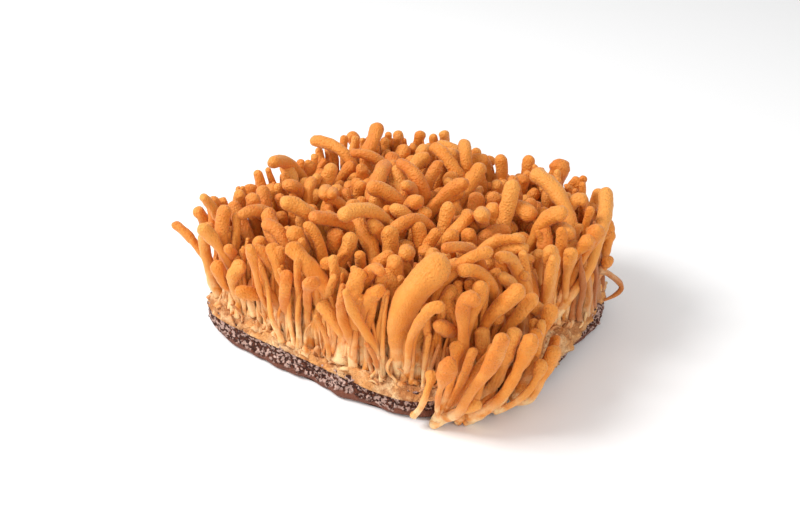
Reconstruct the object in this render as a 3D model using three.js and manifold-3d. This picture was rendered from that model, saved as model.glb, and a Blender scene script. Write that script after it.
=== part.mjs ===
// A cut block of cultivated cordyceps: a cake of colonised grain, the felted mat of
// mycelium on top of it, and the crop of club-shaped mushrooms that stands on the mat.
// Units are millimetres, +Z is up, and the origin is the centre of the cake's flat underside.
// The clubs grow in tufts that share a foot, so one tuft is one piece.

import * as THREE from "three";
import { mergeVertices } from "three/addons/utils/BufferGeometryUtils.js";
import Module from "manifold-3d";

const wasm = await Module();
wasm.setup();

// ---- Driving dimensions -------------------------------------------------------------

const block = {
  halfWidth: 62,
  halfDepth: 60,
  cakeTop: 10.6,
  matTop: 12.8,
  clearance: 0.3,
};

// How square the block is in plan in each quarter, counted from +X towards +Y. High is square.
const cornerPower = [4, 4, 6, 3];

// The tufts stand in four rings that follow the block's edge, at these insets from it.
const tuftRings = [
  { inset: 7.5, tufts: 24, clubs: 7, phase: 0.25 },
  { inset: 23, tufts: 17, clubs: 6, phase: 0.75 },
  { inset: 39, tufts: 10, clubs: 6, phase: 0.25 },
  { inset: 54.2, tufts: 2, clubs: 7, phase: 0 },
];

// A few tufts cling to the cake's side at the rounded front right corner.
const sideTufts = { angles: [-47, -39.5, -32, -24.5], standOff: 3.7, height: 4, clubs: 4 };

const foot = { radius: 7, height: 1.6, rootSpread: 5, rootHeight: 1.6, sides: 8 };
const sideFoot = { radius: 3.2, rootSpread: 1.4, rootHeight: 0 };

const club = {
  canopyHeight: 50,
  stemRadius: 1.15,
  stemRange: 0.6,
  headRadius: 2.2,
  headRange: 0.9,
  swellStart: 0.45,
  swellLength: 0.35,
};

// The sector behind the leaders of a rim tuft in which its other clubs stand.
const behindSector = 3.6;

const overtopping = { from: 0.4, samples: 8, within: 6, below: 4, least: 34 };

const settling = {
  rounds: 80,
  samples: 14,
  from: 0.1,
  to: 0.96,
  reach: 30,
  gap: 0.8,
  pace: 0.45,
  leaderWeight: 0.2,
};

// Clubs with a place and shape of their own. Each row: root x and y, the point that the
// stem bends towards, the tip, and the radii of the stem and the head.
const leaders = [
  { root: [36, -55], bend: [34, -58, 38], tip: [47, -42, 55], stem: 4.6, head: 5.0 },
  { root: [-58, -49], bend: [-63, -50, 34], tip: [-74, -51, 36], stem: 1.6, head: 2.0 },
  { root: [-55, -52], bend: [-58, -54, 30], tip: [-51, -52, 44], stem: 2.2, head: 2.7 },
  { root: [-8, -54], bend: [-18, -50, 34], tip: [-36, -38, 47], stem: 2.7, head: 3.2 },
  { root: [14, -50], bend: [8, -48, 38], tip: [-13, -52, 47], stem: 2.8, head: 3.2 },
  { root: [26, -50], bend: [14, -40, 34], tip: [-14, -22, 51], stem: 1.7, head: 3.3 },
  { root: [-34, -50], bend: [-38, -50, 30], tip: [-52, -40, 45], stem: 2.0, head: 2.8 },
  { root: [-14, -54], bend: [-20, -56, 30], tip: [-31, -48, 42], stem: 1.8, head: 2.6 },
  { root: [-30, -55], bend: [-33, -55, 30], tip: [-26, -50, 37], stem: 1.7, head: 2.2 },
  { root: [-42, -50], bend: [-41, -52, 30], tip: [-44, -46, 50], stem: 1.7, head: 2.6 },
  { root: [-34, -26], bend: [-38, -28, 30], tip: [-42, -22, 44], stem: 1.9, head: 2.5 },
  { root: [-24, -30], bend: [-27, -31, 30], tip: [-30, -25, 46], stem: 1.9, head: 2.6 },
  { root: [-22, -24], bend: [-26, -24, 30], tip: [-28, -16, 47], stem: 1.9, head: 2.6 },
  { root: [-40, -10], bend: [-42, -10, 34], tip: [-42, 2, 50], stem: 2.0, head: 2.9 },
  { root: [-38, 12], bend: [-42, 16, 38], tip: [-46, 38, 54], stem: 1.8, head: 2.8 },
  { root: [-2, 8], bend: [-4, 6, 34], tip: [-17, 12, 53], stem: 2.2, head: 2.9 },
  { root: [4, -4], bend: [8, 4, 34], tip: [8, 32, 53], stem: 2.0, head: 2.8 },
  { root: [-8, 34], bend: [-9, 36, 34], tip: [-12, 40, 50], stem: 3.4, head: 4.0 },
  { root: [30, 4], bend: [30, 5, 30], tip: [28, 7, 51], stem: 2.8, head: 3.1 },
  { root: [20, 20], bend: [22, 18, 56], tip: [42, 14, 47], stem: 2.4, head: 3.3 },
  { root: [56, 14], bend: [54, 26, 52], tip: [28, 33, 54], stem: 2.7, head: 3.4 },
  { root: [56, 10], bend: [60, 20, 36], tip: [50, 46, 50], stem: 1.9, head: 2.8 },
  { root: [24, 52], bend: [24, 58, 36], tip: [26, 60, 50], stem: 2.8, head: 3.6 },
  { root: [54, -6], bend: [58, -4, 30], tip: [56, -4, 49], stem: 2.2, head: 2.9 },
  { root: [48, -16], bend: [50, -14, 32], tip: [46, 0, 47], stem: 2.2, head: 2.8 },
  { root: [52, -38], bend: [54, -38, 36], tip: [64, -30, 48], stem: 1.8, head: 2.9 },
  { root: [54, -28], bend: [56, -30, 28], tip: [66, -24, 42], stem: 1.8, head: 2.6 },
  { root: [38, -54], bend: [41, -59, 52], tip: [51, -54, 47], stem: 1.4, head: 2.1 },
  { root: [51, -46], bend: [50, -46, 58], tip: [58, -46, 46], stem: 1.9, head: 2.6 },
  { root: [14, -53], bend: [16, -57, 26], tip: [4, -57, 34], stem: 1.7, head: 2.2 },
  { root: [52, -52], bend: [62, -56, 12], tip: [70, -49, 42], stem: 1.6, head: 2.7 },
  { root: [50, -54], bend: [53, -60, 22], tip: [57, -57, 32], stem: 0.9, head: 3.0 },
  { root: [57, -46], bend: [66, -44, 8], tip: [71, -34, 36], stem: 1.7, head: 2.7 },
  { root: [61, -42], bend: [68, -35, 18], tip: [67, -33, 31], stem: 1.5, head: 2.6 },
  { root: [64, -34], bend: [71, -30, 8], tip: [70, -21, 25], stem: 1.6, head: 2.5 },
];

// The clubs are drawn as five-sided tubes, with a ring at each of these shares of the length.
const clubSides = 5;
const followerRings = [0, 0.46, 0.8, 0.94];
const leaderRings = [0, 0.25, 0.45, 0.62, 0.78, 0.94];
const outlineSteps = 48;

// ---- Small helpers ------------------------------------------------------------------

const degrees = Math.PI / 180;
const vector = (x, y, z) => new THREE.Vector3(x, y, z);

// The same scattered number from 0 to 1 for the same pair of whole numbers, every time.
function scatter(index, channel) {
  const wave = Math.sin(index * 12.9898 + channel * 78.233) * 43758.5453;
  return wave - Math.floor(wave);
}

function smoothStep(x) {
  const t = Math.min(1, Math.max(0, x));
  return t * t * (3 - 2 * t);
}

// Distance from the block's centre to its edge, in the direction of a polar angle.
function edgeRadius(angle) {
  const turn = ((angle % (2 * Math.PI)) + 2 * Math.PI) % (2 * Math.PI);
  const power = cornerPower[Math.floor(turn / (Math.PI / 2)) % 4];
  const across = Math.abs(Math.cos(angle)) / block.halfWidth;
  const along = Math.abs(Math.sin(angle)) / block.halfDepth;
  return (across ** power + along ** power) ** (-1 / power);
}

// The direction that faces straight out of the block at the edge point nearest to a place.
function edgeNormal(place) {
  const angle = Math.atan2(place.y, place.x);
  const turn = (angle + 2 * Math.PI) % (2 * Math.PI);
  const power = cornerPower[Math.floor(turn / (Math.PI / 2)) % 4];
  const x = (Math.abs(Math.cos(angle)) / block.halfWidth) ** (power - 1) / block.halfWidth;
  const y = (Math.abs(Math.sin(angle)) / block.halfDepth) ** (power - 1) / block.halfDepth;
  return vector(Math.sign(place.x) * x, Math.sign(place.y) * y, 0).normalize();
}

// Points the same distance apart along the line that runs at an inset from the block's edge.
function ringPoints(count, inset, phase) {
  const steps = 720;
  const line = Array.from({ length: steps + 1 }, (_, i) => {
    const angle = (i / steps) * 2 * Math.PI;
    const radius = edgeRadius(angle) - inset;
    return vector(radius * Math.cos(angle), radius * Math.sin(angle), 0);
  });
  const lengths = [0];
  for (let i = 1; i <= steps; i += 1) {
    lengths.push(lengths[i - 1] + line[i].distanceTo(line[i - 1]));
  }
  return Array.from({ length: count }, (_, k) => {
    const target = ((k + phase) / count) * lengths[steps];
    const i = lengths.findIndex((length) => length > target);
    const share = (target - lengths[i - 1]) / (lengths[i] - lengths[i - 1]);
    return line[i - 1].clone().lerp(line[i], share);
  });
}

// ---- Where the tufts and clubs grow -------------------------------------------------

function placeTufts() {
  const tufts = [];
  tuftRings.forEach((ring, r) => {
    ringPoints(ring.tufts, ring.inset, ring.phase).forEach((centre) => {
      centre.z = block.matTop + block.clearance;
      tufts.push({ centre, clubs: ring.clubs, rim: r === 0, side: false, foot });
    });
  });
  sideTufts.angles.forEach((angle) => {
    const radius = edgeRadius(angle * degrees) + sideTufts.standOff;
    const centre = vector(
      radius * Math.cos(angle * degrees),
      radius * Math.sin(angle * degrees),
      sideTufts.height,
    );
    tufts.push({ centre, clubs: sideTufts.clubs, rim: true, side: true, foot: sideFoot });
  });
  return tufts;
}

function nearestTuft(tufts, x, y) {
  const distances = tufts.map((tuft) => Math.hypot(tuft.centre.x - x, tuft.centre.y - y));
  return distances.indexOf(Math.min(...distances));
}

// A leader's root moves onto the foot of the nearest tuft, and takes one of its places.
function placeLeaders(tufts) {
  return leaders.map((leader) => {
    const tuft = nearestTuft(tufts, ...leader.root);
    const { centre, foot: base } = tufts[tuft];
    const away = vector(leader.root[0] - centre.x, leader.root[1] - centre.y, 0);
    const slack = base.rootSpread + club.stemRadius - leader.stem;
    away.clampLength(0, Math.max(0, slack)).setZ(base.rootHeight);
    return {
      tuft,
      rings: leaderRings,
      root: centre.clone().add(away),
      bend: vector(...leader.bend),
      tip: vector(...leader.tip),
      stem: leader.stem,
      head: leader.head,
      weight: settling.leaderWeight,
    };
  });
}

// A side tuft's clubs rise close to the cake's side and sweep round it, towards +Y.
function sweepAlongSide(root, bend, tip, seed) {
  const outward = vector(root.x, root.y, 0).normalize();
  const round = vector(-outward.y, outward.x, 0);
  const height = 14 + 20 * scatter(seed, 9);
  bend.copy(root).addScaledVector(outward, 3).addScaledVector(round, 4 + 4 * scatter(seed, 15));
  bend.z += 0.3 * height;
  tip.copy(root).addScaledVector(outward, 1).addScaledVector(round, 9 + 7 * scatter(seed, 16));
  tip.z += height;
}

// A club that stands close to the upper part of a leader stays lower than the leader does there.
function heightUnderLeaders(tip, height, leaderClubs) {
  const { from, samples, within, below, least } = overtopping;
  const limits = leaderClubs.flatMap((leader) =>
    Array.from({ length: samples }, (_, k) => pointAt(leader, from + ((1 - from) * k) / (samples - 1)))
      .filter((point) => Math.hypot(point.x - tip.x, point.y - tip.y) < within)
      .map((point) => point.z - below),
  );
  return Math.max(least, Math.min(height, ...limits));
}

// The other clubs of a tuft stand round its centre and lean a little as they rise. On the rim they
// don't lean outwards but spread along the edge, the outer ones are shorter, and where a tuft has
// leaders the others stand behind them.
function placeFollowers(tufts, leaderClubs) {
  const clubs = [];
  tufts.forEach((tuft, t) => {
    const taken = leaderClubs.filter((leader) => leader.tuft === t).length;
    const free = Math.max(tuft.side ? 1 : 2, tuft.clubs - taken);
    const outward = edgeNormal(tuft.centre);
    const fromMiddle = vector(tuft.centre.x, tuft.centre.y, 0).normalize();
    const alongEdge = fromMiddle.addScaledVector(outward, -fromMiddle.dot(outward));
    const behind = tuft.rim && !tuft.side && taken > 0;
    for (let k = 0; k < free; k += 1) {
      const seed = t * 10 + k;
      const turn = behind
        ? Math.atan2(-outward.y, -outward.x) + behindSector * ((k + 0.2 + 0.6 * scatter(seed, 2)) / free - 0.5)
        : (2 * Math.PI * (k + 0.7 * scatter(t, 1))) / free + scatter(seed, 2);
      const round = vector(Math.cos(turn), Math.sin(turn), 0);
      const middle = k === 0 && free > 4 ? 0.2 : 1;
      const spread = tuft.foot.rootSpread * middle * (0.75 + 0.25 * scatter(seed, 3));
      const root = tuft.centre.clone().addScaledVector(round, spread);
      root.z += tuft.foot.rootHeight;

      const strong = scatter(seed, 4) > 0.62 ? 1 : 0;
      const leanTurn = 2 * Math.PI * scatter(seed, 5);
      const lean = vector(Math.cos(leanTurn), Math.sin(leanTurn), 0);
      lean.multiplyScalar(2.5 + 3 * scatter(seed, 6) + 9 * strong);
      if (tuft.rim) lean.addScaledVector(outward, -Math.max(0, lean.dot(outward)));
      const reach = 2.6 * middle * (0.6 + 0.6 * scatter(seed, 7));
      const facing = tuft.rim ? Math.max(0, round.dot(outward)) : 0;
      const tip = root.clone().addScaledVector(round, reach).add(lean);
      if (tuft.rim) tip.addScaledVector(alongEdge, 5 + 5 * scatter(seed, 8));
      const shorter = 10 * scatter(seed, 9) ** 2 + 3 * strong + facing * (1 + 4 * scatter(seed, 10));
      tip.z = heightUnderLeaders(tip, club.canopyHeight - shorter, leaderClubs);
      const bend = root.clone().lerp(tip, 0.25 + 0.2 * scatter(seed, 11));
      bend.z = root.z + (tip.z - root.z) * (0.5 + 0.35 * scatter(seed, 12));
      if (tuft.side) sweepAlongSide(root, bend, tip, seed);
      clubs.push({
        tuft: t,
        rings: followerRings,
        root,
        bend,
        tip,
        stem: club.stemRadius + club.stemRange * scatter(seed, 13),
        head: club.headRadius + club.headRange * scatter(seed, 14),
        weight: 1,
      });
    }
  });
  return clubs;
}

// A point on a club's centreline: the quadratic curve from root to tip, drawn to its bend.
function pointAt(one, t) {
  return vector(0, 0, 0)
    .addScaledVector(one.root, (1 - t) ** 2)
    .addScaledVector(one.bend, 2 * t * (1 - t))
    .addScaledVector(one.tip, t * t);
}

// A club's radius along its length: a slim stem that swells into a head with a round end.
function radiusAt(one, t) {
  const swell = smoothStep((t - club.swellStart) / club.swellLength);
  const radius = one.stem + (one.head - one.stem) * swell;
  const fromTip = (1 - t) * one.length;
  const inCap = Math.max(0, 1 - fromTip / radius);
  return radius * Math.sqrt(1 - inCap * inCap);
}

// Crowded clubs press each other aside until they only touch. Each contact is shared out
// between a club's bend and tip by the weights that the curve gives them there.
function settle(clubs) {
  const { rounds, samples, from, to, reach, gap, pace } = settling;
  const shares = Array.from({ length: samples }, (_, k) => from + ((to - from) * k) / (samples - 1));
  const pairs = [];
  clubs.forEach((a, i) => {
    clubs.slice(i + 1).forEach((b, j) => {
      const middleA = pointAt(a, 0.6);
      const middleB = pointAt(b, 0.6);
      if (middleA.distanceTo(middleB) < reach) pairs.push([i, i + 1 + j]);
    });
  });
  clubs.forEach((one) => {
    one.length = one.root.distanceTo(one.bend) / 2 + one.bend.distanceTo(one.tip) / 2;
    one.length += one.root.distanceTo(one.tip) / 2;
    one.radii = shares.map((t) => radiusAt(one, t));
    one.squeeze = 1;
  });

  for (let round = 0; round <= rounds; round += 1) {
    const last = round === rounds;
    clubs.forEach((one) => {
      one.points = shares.map((t) => pointAt(one, t));
      one.bendPush = vector(0, 0, 0);
      one.tipPush = vector(0, 0, 0);
    });
    pairs.forEach(([i, j]) => {
      const a = clubs[i];
      const b = clubs[j];
      const first = a.tuft === b.tuft ? 1 : 0;
      for (let m = first; m < samples; m += 1) {
        for (let n = first; n < samples; n += 1) {
          const apart = a.points[m].clone().sub(b.points[n]);
          const room = a.radii[m] + b.radii[n];
          const distance = Math.max(apart.length(), 0.01);
          const overlap = room + gap - distance;
          if (overlap > 0 && last && a.tuft !== b.tuft) {
            const fit = Math.max(0.3, (distance - gap) / room);
            a.squeeze = Math.min(a.squeeze, fit);
            b.squeeze = Math.min(b.squeeze, fit);
          } else if (overlap > 0 && !last) {
            const push = apart.multiplyScalar((pace * overlap) / distance);
            const share = a.weight / (a.weight + b.weight);
            const [ta, tb] = [shares[m], shares[n]];
            a.bendPush.addScaledVector(push, share * 2 * ta * (1 - ta));
            a.tipPush.addScaledVector(push, share * ta * ta);
            b.bendPush.addScaledVector(push, -(1 - share) * 2 * tb * (1 - tb));
            b.tipPush.addScaledVector(push, -(1 - share) * tb * tb);
          }
        }
      }
    });
    if (!last) {
      clubs.forEach((one) => {
        one.bend.add(one.bendPush.clampLength(0, 1));
        one.tip.add(one.tipPush.clampLength(0, 1));
      });
    }
  }
  return clubs;
}

// ---- Solids -------------------------------------------------------------------------

function solidOf(geometry) {
  geometry.deleteAttribute("normal");
  geometry.deleteAttribute("uv");
  const merged = mergeVertices(geometry, 1e-4);
  return new wasm.Manifold(
    new wasm.Mesh({
      numProp: 3,
      vertProperties: merged.attributes.position.array,
      triVerts: new Uint32Array(merged.index.array),
    }),
  );
}

function geometryOf(solid) {
  const mesh = solid.getMesh();
  const geometry = new THREE.BufferGeometry();
  geometry.setAttribute("position", new THREE.BufferAttribute(mesh.vertProperties, 3));
  geometry.setIndex(new THREE.BufferAttribute(mesh.triVerts, 1));
  geometry.computeVertexNormals();
  return geometry;
}

// A closed skin over a stack of rings with the same number of points, capped at both ends.
function skinOver(rings, endPoint) {
  const sides = rings[0].length;
  const points = rings.flat();
  const faces = [];
  rings.slice(1).forEach((_, r) => {
    for (let k = 0; k < sides; k += 1) {
      const here = r * sides + k;
      const next = r * sides + ((k + 1) % sides);
      faces.push(here, next, next + sides, here, next + sides, here + sides);
    }
  });
  for (let k = 1; k < sides - 1; k += 1) faces.push(0, k + 1, k);
  const top = (rings.length - 1) * sides;
  points.push(endPoint);
  for (let k = 0; k < sides; k += 1) {
    faces.push(top + k, top + ((k + 1) % sides), points.length - 1);
  }
  const geometry = new THREE.BufferGeometry().setFromPoints(points);
  geometry.setIndex(faces);
  return geometry;
}

function clubSolid(one) {
  let side = vector(1, 0, 0);
  const rings = one.rings.map((t) => {
    const along = t ? pointAt(one, t + 0.01).sub(pointAt(one, t - 0.01)) : vector(0, 0, 1);
    along.normalize();
    side = side.addScaledVector(along, -side.dot(along)).normalize();
    const up = along.clone().cross(side);
    const radius = radiusAt(one, t) * one.squeeze;
    return Array.from({ length: clubSides }, (_, k) => {
      const turn = (2 * Math.PI * k) / clubSides;
      return pointAt(one, t)
        .addScaledVector(side, radius * Math.cos(turn))
        .addScaledVector(up, radius * Math.sin(turn));
    });
  });
  return solidOf(skinOver(rings, one.tip));
}

function footSolid(tuft) {
  const { x, y, z } = tuft.centre;
  if (tuft.side) {
    return solidOf(new THREE.IcosahedronGeometry(sideFoot.radius, 1).translate(x, y, z));
  }
  const ring = (radius, height) =>
    Array.from({ length: foot.sides }, (_, k) => {
      const turn = (2 * Math.PI * k) / foot.sides;
      return vector(x + radius * Math.cos(turn), y + radius * Math.sin(turn), z + height);
    });
  const rings = [ring(foot.radius, 0), ring(foot.radius - 0.3, foot.height)];
  return solidOf(skinOver(rings, vector(x, y, z + foot.height)));
}

// The outer skin of a joined tuft, without the closed pockets that crossing stems leave.
function outerSkin(solid) {
  const skins = solid.decompose();
  return skins.reduce((best, skin) => (skin.volume() > best.volume() ? skin : best));
}

// A slab that follows the block's plan, from a list of heights and insets.
function slabGeometry(levels) {
  const rings = levels.map(({ z, inset }) =>
    Array.from({ length: outlineSteps }, (_, k) => {
      const angle = (2 * Math.PI * k) / outlineSteps;
      const radius = edgeRadius(angle) - inset;
      return vector(radius * Math.cos(angle), radius * Math.sin(angle), z);
    }),
  );
  return skinOver(rings, vector(0, 0, levels[levels.length - 1].z));
}

// ---- The object ---------------------------------------------------------------------

function finish(name, colour, roughness) {
  return new THREE.MeshStandardMaterial({ name, color: colour, roughness, metalness: 0 });
}

const grainCake = finish("grain_cake", 0x6b4436, 0.85);
const felt = finish("felt", 0xd9a066, 0.95);
const flesh = finish("flesh", 0xe08a3a, 0.7);

const crop = new THREE.Group();

function addPiece(name, geometry, material) {
  const mesh = new THREE.Mesh(geometry, material);
  mesh.name = name;
  crop.add(mesh);
}

addPiece(
  "grain_cake",
  slabGeometry([
    { z: 0, inset: 2.5 },
    { z: 2.5, inset: 0.4 },
    { z: block.cakeTop, inset: 0 },
  ]),
  grainCake,
);

addPiece(
  "mycelium_mat",
  slabGeometry([
    { z: block.cakeTop + block.clearance, inset: 0.2 },
    { z: block.matTop - 1, inset: 0.8 },
    { z: block.matTop, inset: 2 },
  ]),
  felt,
);

const tufts = placeTufts();
const leaderClubs = placeLeaders(tufts);
const clubs = settle([...leaderClubs, ...placeFollowers(tufts, leaderClubs)]);

tufts.forEach((tuft, t) => {
  const solid = clubs
    .filter((one) => one.tuft === t)
    .reduce((joined, one) => joined.add(clubSolid(one)), footSolid(tuft));
  const number = String(t + 1).padStart(2, "0");
  addPiece((tuft.side ? "side_tuft_" : "tuft_") + number, geometryOf(outerSkin(solid)), flesh);
});

export default crop;
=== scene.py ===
import math

import bpy
import numpy as np
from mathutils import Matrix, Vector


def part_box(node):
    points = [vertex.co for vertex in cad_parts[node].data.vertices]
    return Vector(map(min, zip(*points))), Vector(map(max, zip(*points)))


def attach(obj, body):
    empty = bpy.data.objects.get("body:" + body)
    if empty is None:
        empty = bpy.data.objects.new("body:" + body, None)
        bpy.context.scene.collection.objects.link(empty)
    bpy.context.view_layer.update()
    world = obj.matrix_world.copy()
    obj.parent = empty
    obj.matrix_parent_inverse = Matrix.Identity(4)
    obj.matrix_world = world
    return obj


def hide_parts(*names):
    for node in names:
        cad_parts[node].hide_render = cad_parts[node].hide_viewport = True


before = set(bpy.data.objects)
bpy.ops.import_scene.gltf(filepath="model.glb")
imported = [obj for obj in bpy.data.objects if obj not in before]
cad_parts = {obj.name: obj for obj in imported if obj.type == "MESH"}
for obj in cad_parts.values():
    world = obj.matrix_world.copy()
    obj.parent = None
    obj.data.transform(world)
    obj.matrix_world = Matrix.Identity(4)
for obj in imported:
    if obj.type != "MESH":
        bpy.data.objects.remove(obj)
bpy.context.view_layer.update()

# A cut block of cultivated cordyceps: the grain cake, the felted mat on it and the crop of clubs.
# Lengths are in millimetres in the part's frame, and turn into metres when a mesh is made.
mm = 0.001
root = "root"


# The block's plan and the places of the tufts, as in the solid model.

def millimetreBox(node):
    return [np.array(corner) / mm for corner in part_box(node)]


cakeLow, cakeHigh = millimetreBox("grain_cake")
matLow, matHigh = millimetreBox("mycelium_mat")

block = {
    "halfWidth": cakeHigh[0],
    "halfDepth": cakeHigh[1],
    "cakeTop": cakeHigh[2],
    "matTop": matHigh[2],
    "clearance": matLow[2] - cakeHigh[2],
    "cornerPower": [4, 4, 6, 3],  # squareness of each quarter in plan, from +X towards +Y
}

tuftLayout = {
    "rings": [  # inset from the edge, tufts, clubs in each, and where the first one stands
        (7.5, 24, 7, 0.25),
        (23, 17, 6, 0.75),
        (39, 10, 6, 0.25),
        (54.2, 2, 7, 0),
    ],
    "edgeSamples": 721,
    "rootSpread": 5,
    "rootHeight": 1.6,
    "sideAngles": [-47, -39.5, -32, -24.5],  # degrees round the block, for tufts on the cake's side
    "sideStandOff": 3.7,
    "sideHeight": 4,
    "sideClubs": 4,
    "sideRootSpread": 1.4,
    "sideRootHeight": 0,
}

clubSize = {
    "canopyHeight": 50,
    "stemRadius": 1.15,
    "stemRange": 0.6,
    "headRadius": 2.2,
    "headRange": 0.9,
    "swellStart": 0.45,
    "swellLength": 0.35,
}

overtopping = {"from": 0.4, "samples": 8, "within": 6, "below": 4, "least": 34}
settling = {
    "rounds": 80, "samples": 14, "from": 0.1, "to": 0.96, "reach": 30, "gap": 0.8, "pace": 0.45,
    "leaderWeight": 0.2, "middle": 0.6, "lookEvery": 8, "nearlyTouching": 2, "longestStep": 1,
}

# Clubs with a place of their own: root x and y, the point the stem bends towards, the tip,
# and the radii of the stem and the head.
leaders = np.array([
    [36, -55, 34, -58, 38, 47, -42, 55, 4.6, 5.0],
    [-58, -49, -63, -50, 34, -74, -51, 36, 1.6, 2.0],
    [-55, -52, -58, -54, 30, -51, -52, 44, 2.2, 2.7],
    [-8, -54, -18, -50, 34, -36, -38, 47, 2.7, 3.2],
    [14, -50, 8, -48, 38, -13, -52, 47, 2.8, 3.2],
    [26, -50, 14, -40, 34, -14, -22, 51, 1.7, 3.3],
    [-34, -50, -38, -50, 30, -52, -40, 45, 2.0, 2.8],
    [-14, -54, -20, -56, 30, -31, -48, 42, 1.8, 2.6],
    [-30, -55, -33, -55, 30, -26, -50, 37, 1.7, 2.2],
    [-42, -50, -41, -52, 30, -44, -46, 50, 1.7, 2.6],
    [-34, -26, -38, -28, 30, -42, -22, 44, 1.9, 2.5],
    [-24, -30, -27, -31, 30, -30, -25, 46, 1.9, 2.6],
    [-22, -24, -26, -24, 30, -28, -16, 47, 1.9, 2.6],
    [-40, -10, -42, -10, 34, -42, 2, 50, 2.0, 2.9],
    [-38, 12, -42, 16, 38, -46, 38, 54, 1.8, 2.8],
    [-2, 8, -4, 6, 34, -17, 12, 53, 2.2, 2.9],
    [4, -4, 8, 4, 34, 8, 32, 53, 2.0, 2.8],
    [-8, 34, -9, 36, 34, -12, 40, 50, 3.4, 4.0],
    [30, 4, 30, 5, 30, 28, 7, 51, 2.8, 3.1],
    [20, 20, 22, 18, 56, 42, 14, 47, 2.4, 3.3],
    [56, 14, 54, 26, 52, 28, 33, 54, 2.7, 3.4],
    [56, 10, 60, 20, 36, 50, 46, 50, 1.9, 2.8],
    [24, 52, 24, 58, 36, 26, 60, 50, 2.8, 3.6],
    [54, -6, 58, -4, 30, 56, -4, 49, 2.2, 2.9],
    [48, -16, 50, -14, 32, 46, 0, 47, 2.2, 2.8],
    [52, -38, 54, -38, 36, 64, -30, 48, 1.8, 2.9],
    [54, -28, 56, -30, 28, 66, -24, 42, 1.8, 2.6],
    [38, -54, 41, -59, 52, 51, -54, 47, 1.4, 2.1],
    [51, -46, 50, -46, 58, 58, -46, 46, 1.9, 2.6],
    [14, -53, 16, -57, 26, 4, -57, 34, 1.7, 2.2],
    [52, -52, 62, -56, 12, 70, -49, 42, 1.6, 2.7],
    [50, -54, 53, -60, 22, 57, -57, 32, 0.9, 3.0],
    [57, -46, 66, -44, 8, 71, -34, 36, 1.7, 2.7],
    [61, -42, 68, -35, 18, 67, -33, 31, 1.5, 2.6],
    [64, -34, 71, -30, 8, 70, -21, 25, 1.6, 2.5],
])


# The same scattered number from 0 to 1 for the same pair of whole numbers: the fraction left of a
# sine that is multiplied up.
def scatter(index, channel):
    wave = np.sin(np.asarray(index) * 12.9898 + channel * 78.233) * 43758.5453
    return wave - np.floor(wave)


# Smooth step: 3t^2 - 2t^3 between 0 and 1.
def smoothStep(x):
    t = np.clip(x, 0, 1)
    return t * t * (3 - 2 * t)


def unit(vectors):
    return vectors / np.maximum(np.linalg.norm(vectors, axis=-1, keepdims=True), 1e-9)


def clampLength(vectors, most):
    size = np.linalg.norm(vectors, axis=-1, keepdims=True)
    return vectors * np.minimum(1, most / np.maximum(size, 1e-9))


# The superellipse's terms at polar angles: its power in that quarter, and the shares of the block's
# half width and half depth that a step outwards covers.
def planTerms(angle):
    quarter = np.floor(np.mod(angle, 2 * math.pi) / (math.pi / 2)).astype(int) % 4
    power = np.array(block["cornerPower"])[quarter]
    return power, np.abs(np.cos(angle)) / block["halfWidth"], np.abs(np.sin(angle)) / block["halfDepth"]


# Distance from the block's centre to its edge: (across^p + along^p)^(-1/p).
def edgeRadius(angle):
    power, across, along = planTerms(angle)
    return (across ** power + along ** power) ** (-1 / power)


# The direction straight out of the block: the slope of the superellipse at each point's polar angle.
def edgeNormal(points):
    power, across, along = planTerms(np.arctan2(points[:, 1], points[:, 0]))
    longer = np.maximum(across, along)
    x = (across / longer) ** (power - 1) / block["halfWidth"]
    y = (along / longer) ** (power - 1) / block["halfDepth"]
    return unit(np.stack([np.sign(points[:, 0]) * x, np.sign(points[:, 1]) * y, 0 * x], 1))


# The part of the way out from the block's middle that runs along the edge, towards a corner.
def towardsCorner(points, outward):
    fromMiddle = unit(points * [1, 1, 0])
    return fromMiddle - outward * (fromMiddle * outward).sum(1, keepdims=True)


# Vectors without what points out of the block, where rim is true.
def keptInside(vectors, outward, rim):
    return vectors - outward * (rim * np.maximum(0, (vectors * outward).sum(1)))[:, None]


def turned(angle):
    return np.stack([np.cos(angle), np.sin(angle), 0 * angle], 1)


# Places round the block: an inset in from its edge at polar angles, and a height.
def rootsAt(angle, inset, height):
    roots = turned(angle) * (edgeRadius(angle) - inset)[:, None]
    roots[:, 2] = height
    return roots


def quarterTurn(vectors):
    return np.stack([-vectors[:, 1], vectors[:, 0], 0 * vectors[:, 0]], 1)


# Points the same distance apart along the line that runs at an inset from the edge.
def ringPoints(count, inset, phase):
    angle = np.linspace(0, 2 * math.pi, tuftLayout["edgeSamples"])
    line = (edgeRadius(angle) - inset)[:, None] * turned(angle)[:, :2]
    steps = np.linalg.norm(np.diff(line, axis=0), axis=1)
    travelled = np.concatenate([[0], np.cumsum(steps)])
    target = (np.arange(count) + phase) / count * travelled[-1]
    return np.stack([np.interp(target, travelled, line[:, axis]) for axis in range(2)], 1)


def placeTufts():
    centres, clubs, rim = [], [], []
    for number, (inset, count, each, phase) in enumerate(tuftLayout["rings"]):
        height = np.full((count, 1), block["matTop"] + block["clearance"])
        centres.append(np.hstack([ringPoints(count, inset, phase), height]))
        clubs += [each] * count
        rim += [number == 0] * count
    angle = np.radians(tuftLayout["sideAngles"])
    centres.append(rootsAt(angle, -tuftLayout["sideStandOff"], tuftLayout["sideHeight"]))
    clubs += [tuftLayout["sideClubs"]] * len(angle)
    rim += [True] * len(angle)
    side = np.arange(len(clubs)) >= len(clubs) - len(angle)
    return {"centre": np.vstack(centres), "clubs": np.array(clubs), "rim": np.array(rim), "side": side}


tufts = placeTufts()


def nearestTuft(points):
    apart = np.linalg.norm(points[:, None, :2] - tufts["centre"][None, :, :2], axis=2)
    return apart.argmin(1)


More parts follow.
